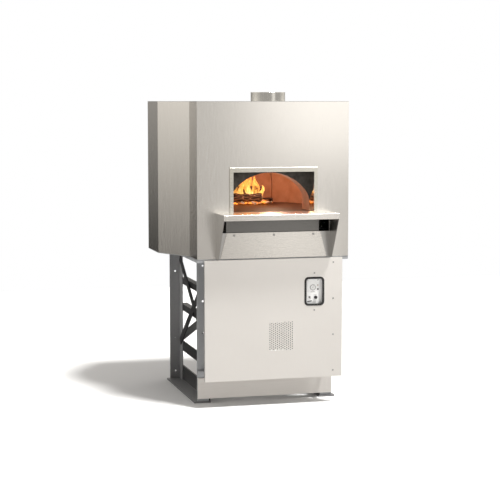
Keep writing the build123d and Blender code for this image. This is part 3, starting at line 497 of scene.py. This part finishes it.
tree.links.new(hot.outputs["Color"], shade.inputs["Base Color"])
shade.inputs["Emission Strength"].default_value = 0.85
thin = tree.nodes.new("ShaderNodeMapRange")
thin.inputs["From Min"].default_value = 0.15
thin.inputs["From Max"].default_value = 0.9
thin.inputs["To Min"].default_value = 0.85
thin.inputs["To Max"].default_value = 0.04
tree.links.new(mixed.outputs["Value"], thin.inputs["Value"])
tree.links.new(thin.outputs["Result"], shade.inputs["Alpha"])

flame_lumps = bpy.data.textures.new("flame_lumps", "CLOUDS")
flame_lumps.noise_scale = 0.06
# Each tongue: metres across and back from the middle of the fire, radius, height, and lean.
tongues = [
    (-0.085, -0.03, 0.028, 0.120, 10), (-0.055, 0.03, 0.034, 0.200, -8), (-0.02, -0.01, 0.034, 0.255, 6),
    (0.02, 0.035, 0.036, 0.225, -6), (0.045, -0.025, 0.032, 0.170, 12), (0.08, 0.02, 0.030, 0.130, -10),
    (0.005, -0.045, 0.030, 0.150, 4), (-0.04, -0.05, 0.026, 0.115, -5), (0.105, -0.01, 0.024, 0.095, 8),
]
for number, (across, back, radius, tall, lean) in enumerate(tongues, start=1):
    bpy.ops.object.select_all(action="DESELECT")
    foot = Vector((fire_x + across, fire_y + back, bed_high.z + 0.02))
    bpy.ops.mesh.primitive_uv_sphere_add(segments=24, ring_count=20, radius=1.0, location=(0.0, 0.0, 0.0))
    tongue = bpy.context.object
    tongue.name = f"flame_{number}"
    for point in tongue.data.vertices:
        up_share = (point.co.z + 1.0) / 2.0
        pinch = (1.0 - up_share) ** 0.55 * (0.35 + 0.65 * min(1.0, up_share * 4.0)) + 0.02
        sway = 0.35 * radius * sin(up_share * 7.0 + number)
        flat = Vector((point.co.x, point.co.y, 0.0))
        if flat.length > 0.0:
            flat.normalize()
        ring = (1.0 - point.co.z ** 2) ** 0.5 if abs(point.co.z) < 1.0 else 0.0
        point.co = foot + Vector((
            flat.x * radius * pinch * ring ** 0.35 + sway + up_share * tall * 0.01 * lean,
            flat.y * radius * pinch * 0.8 * ring ** 0.35,
            up_share * tall,
        ))
    lumps = tongue.modifiers.new("lumps", "DISPLACE")
    lumps.texture = flame_lumps
    lumps.strength = radius * 0.7
    bpy.ops.object.modifier_apply(modifier="lumps")
    bpy.ops.object.shade_smooth()
    tongue.data.materials.append(flame)
    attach(tongue, "oven")

firelight = bpy.data.lights.new("firelight", "POINT")
firelight.color = (1.0, 0.66, 0.42)
firelight.energy = 2.1
firelight.shadow_soft_size = 0.06
hearth_glow = bpy.data.objects.new("firelight", firelight)
scene.collection.objects.link(hearth_glow)
hearth_glow.location = (fire_x + 0.12, fire_y - 0.20, logs_high.z + 0.09)
roomlight = bpy.data.lights.new("dome_light", "POINT")
roomlight.color = (1.0, 0.78, 0.62)
roomlight.energy = 0.6
roomlight.shadow_soft_size = 0.10
dome_glow = bpy.data.objects.new("dome_light", roomlight)
scene.collection.objects.link(dome_glow)
dome_glow.location = (0.10, -0.22, 1.40)

# ---- stand ----
# Legs, rails and braces are hot rolled angle and flat bar, painted and bolted.
grey_paint = rough_coat(
    "grey_stand_paint", (0.25, 0.251, 0.255), (0.28, 0.281, 0.286), 0.45, 130.0, bump=0.12,
    depth=0.0004,
)
finish_nodes(grey_paint, "leg_rear_left", "leg_rear_right", "rear_brace")
base_angle_shaded_paint = rough_coat(
    "base_angle_paint_with_painted_shade", (0.16, 0.161, 0.165), (0.19, 0.191, 0.196), 0.45, 130.0, bump=0.12,
    depth=0.0004,
)
# The base angles are one grey paint; the near-black colour above 11 mm is painted shade for their face in
# shade, and only the lowest band keeps the grey.
tree = base_angle_shaded_paint.node_tree
shade = tree.nodes["Principled BSDF"]
grey = shade.inputs["Base Color"].links[0].from_socket
spot = tree.nodes.new("ShaderNodeTexCoord")
spread = tree.nodes.new("ShaderNodeSeparateXYZ")
tree.links.new(spot.outputs["Object"], spread.inputs[0])
shaded_web_mask = tree.nodes.new("ShaderNodeMapRange")
shaded_web_mask.inputs["From Min"].default_value = 0.0105
shaded_web_mask.inputs["From Max"].default_value = 0.0115
tree.links.new(spread.outputs["Z"], shaded_web_mask.inputs["Value"])
painted_shade_split = tree.nodes.new("ShaderNodeMix")
painted_shade_split.data_type = "RGBA"
painted_shade_split.inputs[7].default_value = (0.02, 0.02, 0.021, 1.0)
tree.links.new(shaded_web_mask.outputs["Result"], painted_shade_split.inputs[0])
tree.links.new(grey, painted_shade_split.inputs[6])
tree.links.new(painted_shade_split.outputs[2], shade.inputs["Base Color"])
finish_nodes(base_angle_shaded_paint, "base_angle_left", "base_angle_right")
light_paint = rough_coat(
    "light_stand_paint", (0.36, 0.37, 0.385), (0.41, 0.42, 0.435), 0.4, 130.0, metal=0.3,
    bump=0.12, depth=0.0004,
)
finish_nodes(light_paint, "leg_front_left", "leg_front_right", "panel_support", "top_frame")
# The side rails and cross braces wear the same dark grey paint as the legs; their near-black colour is
# painted shade for sides facing away from the key light.
shaded_frame_paint = rough_coat(
    "stand_paint_painted_shade", (0.012, 0.012, 0.013), (0.026, 0.026, 0.028), 0.38, 130.0, bump=0.12,
    depth=0.0004,
)
finish_nodes(shaded_frame_paint, "side_rails_left", "side_rails_right", "cross_brace_left", "cross_brace_right")

# ---- service front ----
# A folded stainless tray closes the front of the stand. A field of punched holes lets air in,
# and a kick plate of the same sheet stands below it.
panel_steel = brushed_steel(
    "panel_steel", (0.93, 0.90, 0.86), 0.34, (900.0, 900.0, 9.0), tone=0.03, metal=0.68,
)
finish_nodes(panel_steel, "service_panel", "vent_insert")
kick_steel = brushed_steel("kick_steel", (0.90, 0.87, 0.83), 0.36, (9.0, 900.0, 900.0), metal=0.75)
finish_nodes(kick_steel, "kick_plate")


def slab(name, centre, size, material, turned=0.0):
    """A plain rectangular piece on the oven, turned by some degrees about its front-to-back axis."""
    bpy.ops.object.select_all(action="DESELECT")
    bpy.ops.mesh.primitive_cube_add(size=1.0, location=centre, rotation=(0.0, radians(-turned), 0.0))
    piece = bpy.context.object
    piece.name = name
    piece.scale = size
    bpy.ops.object.transform_apply(location=True, rotation=True, scale=True)
    piece.data.materials.append(material)
    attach(piece, "oven")
    return piece


# A dark sheet hangs just behind the holes, a little smaller than the vent: painted shade standing for the
# shade inside the stand seen through the holes.
vent_low, vent_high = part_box("vent_insert")
shade_sheet_margin = 0.004
shade_sheet_gap = 0.003
shade_sheet_thick = 0.004
hole_shade_sheet = rough_coat(
    "hole_shade_sheet", (0.10, 0.10, 0.10), (0.20, 0.20, 0.20), 0.95, 400.0, bump=0.5, depth=0.001,
)
slab(
    "vent_shade_sheet",
    ((vent_low.x + vent_high.x) / 2, vent_high.y + shade_sheet_gap, (vent_low.z + vent_high.z) / 2),
    (
        vent_high.x - vent_low.x - 2 * shade_sheet_margin,
        shade_sheet_thick,
        vent_high.z - vent_low.z - 2 * shade_sheet_margin,
    ),
    hole_shade_sheet,
)

screw_steel = brushed_steel("screw_steel", (0.52, 0.51, 0.50), 0.3, (300.0, 300.0, 300.0), tone=0.12)
finish_nodes(screw_steel, "pan_head_screws")

# ---- controls ----
# A rubber gasket edges a window in the panel. Behind it a white enamelled plate carries a
# gauge, a lamp, a push button, a toggle switch and a selector knob.
gasket_rubber = rough_coat(
    "gasket_rubber", (0.012, 0.012, 0.012), (0.03, 0.03, 0.03), 0.6, 90.0, bump=0.2, depth=0.0005,
)
finish_nodes(gasket_rubber, "window_gasket")
white_enamel = rough_coat(
    "white_enamel", (0.94, 0.94, 0.93), (0.98, 0.98, 0.97), 0.45, 40.0, bump=0.05, depth=0.0003,
)
finish_nodes(white_enamel, "control_face")
black_moulding = rough_coat(
    "black_moulding", (0.012, 0.012, 0.012), (0.022, 0.022, 0.022), 0.3, 300.0, bump=0.1,
    depth=0.0002,
)
finish_nodes(black_moulding, "selector_knob", "reset_button")

dial_low, dial_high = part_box("gauge")
dial_radius = (dial_high.x - dial_low.x) / 2
dial = rough_coat("dial_face", (0.86, 0.86, 0.85), (0.92, 0.92, 0.91), 0.3, 40.0, bump=0.05, depth=0.0003)
tree = dial.node_tree
shade = tree.nodes["Principled BSDF"]
white = shade.inputs["Base Color"].links[0].from_socket
spot = tree.nodes.new("ShaderNodeTexCoord")
centre = tree.nodes.new("ShaderNodeMapping")
centre.inputs["Location"].default_value = (
    -(dial_low.x + dial_high.x) / 2, 0.0, -(dial_low.z + dial_high.z) / 2,
)
centre.inputs["Scale"].default_value = (1.0, 0.0, 1.0)
tree.links.new(spot.outputs["Object"], centre.inputs["Vector"])
reach = tree.nodes.new("ShaderNodeVectorMath")
reach.operation = "LENGTH"
tree.links.new(centre.outputs["Vector"], reach.inputs[0])
rings = tree.nodes.new("ShaderNodeMapRange")
rings.inputs["From Max"].default_value = dial_radius
tree.links.new(reach.outputs["Value"], rings.inputs["Value"])
bands = tree.nodes.new("ShaderNodeValToRGB")
bands.color_ramp.interpolation = "CONSTANT"
bands.color_ramp.elements[0].color = (0.0, 0.0, 0.0, 1.0)
bands.color_ramp.elements[1].position = 0.12
bands.color_ramp.elements[1].color = (1.0, 1.0, 1.0, 1.0)
for start, level in ((0.66, 0.35), (0.72, 1.0), (0.88, 0.0)):
    band = bands.color_ramp.elements.new(start)
    band.color = (level, level, level, 1.0)
tree.links.new(rings.outputs["Result"], bands.inputs["Fac"])
print_over = tree.nodes.new("ShaderNodeMix")
print_over.data_type = "RGBA"
print_over.inputs[6].default_value = (0.02, 0.02, 0.02, 1.0)
tree.links.new(bands.outputs["Color"], print_over.inputs[0])
tree.links.new(white, print_over.inputs[7])
tree.links.new(print_over.outputs[2], shade.inputs["Base Color"])
finish_nodes(dial, "gauge")

# Printed marks are thin plates on the control plate, and the needle lies on the dial.
plate_low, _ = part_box("control_face")
knob_low, knob_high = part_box("selector_knob")
dial_x = (dial_low.x + dial_high.x) / 2
dial_z = (dial_low.z + dial_high.z) / 2
print_lift = 0.0002
print_thick = 0.0006
for name, across, up_at, length, tall, turned, face in (
    ("needle", dial_x + 0.003, dial_z + 0.003, 0.010, 0.0012, 45.0, dial_low.y),
    ("caption_bar", dial_x, dial_low.z - 0.010, 0.030, 0.0022, 0.0, plate_low.y),
    ("warning_stripe", plate_low.x + 0.036, plate_low.z + 0.022, 0.030, 0.006, 8.0, plate_low.y),
    ("scale_bar", (knob_low.x + knob_high.x) / 2, knob_high.z + 0.005, 0.014, 0.0014, 0.0, plate_low.y),
):
    place_at = (across, face - print_lift, up_at)
    slab(name, place_at, (length, print_thick, tall), black_moulding, turned)

lamp_lens = rough_coat(
    "lamp_lens", (0.30, 0.22, 0.18), (0.38, 0.28, 0.22), 0.15, 200.0, bump=0.02, depth=0.0002,
)
finish_nodes(lamp_lens, "status_lamp")
plated = brushed_steel("plated_brass", (0.72, 0.72, 0.71), 0.14, (400.0, 400.0, 400.0), tone=0.03)
finish_nodes(plated, "toggle_lever", "toggle_bezel")
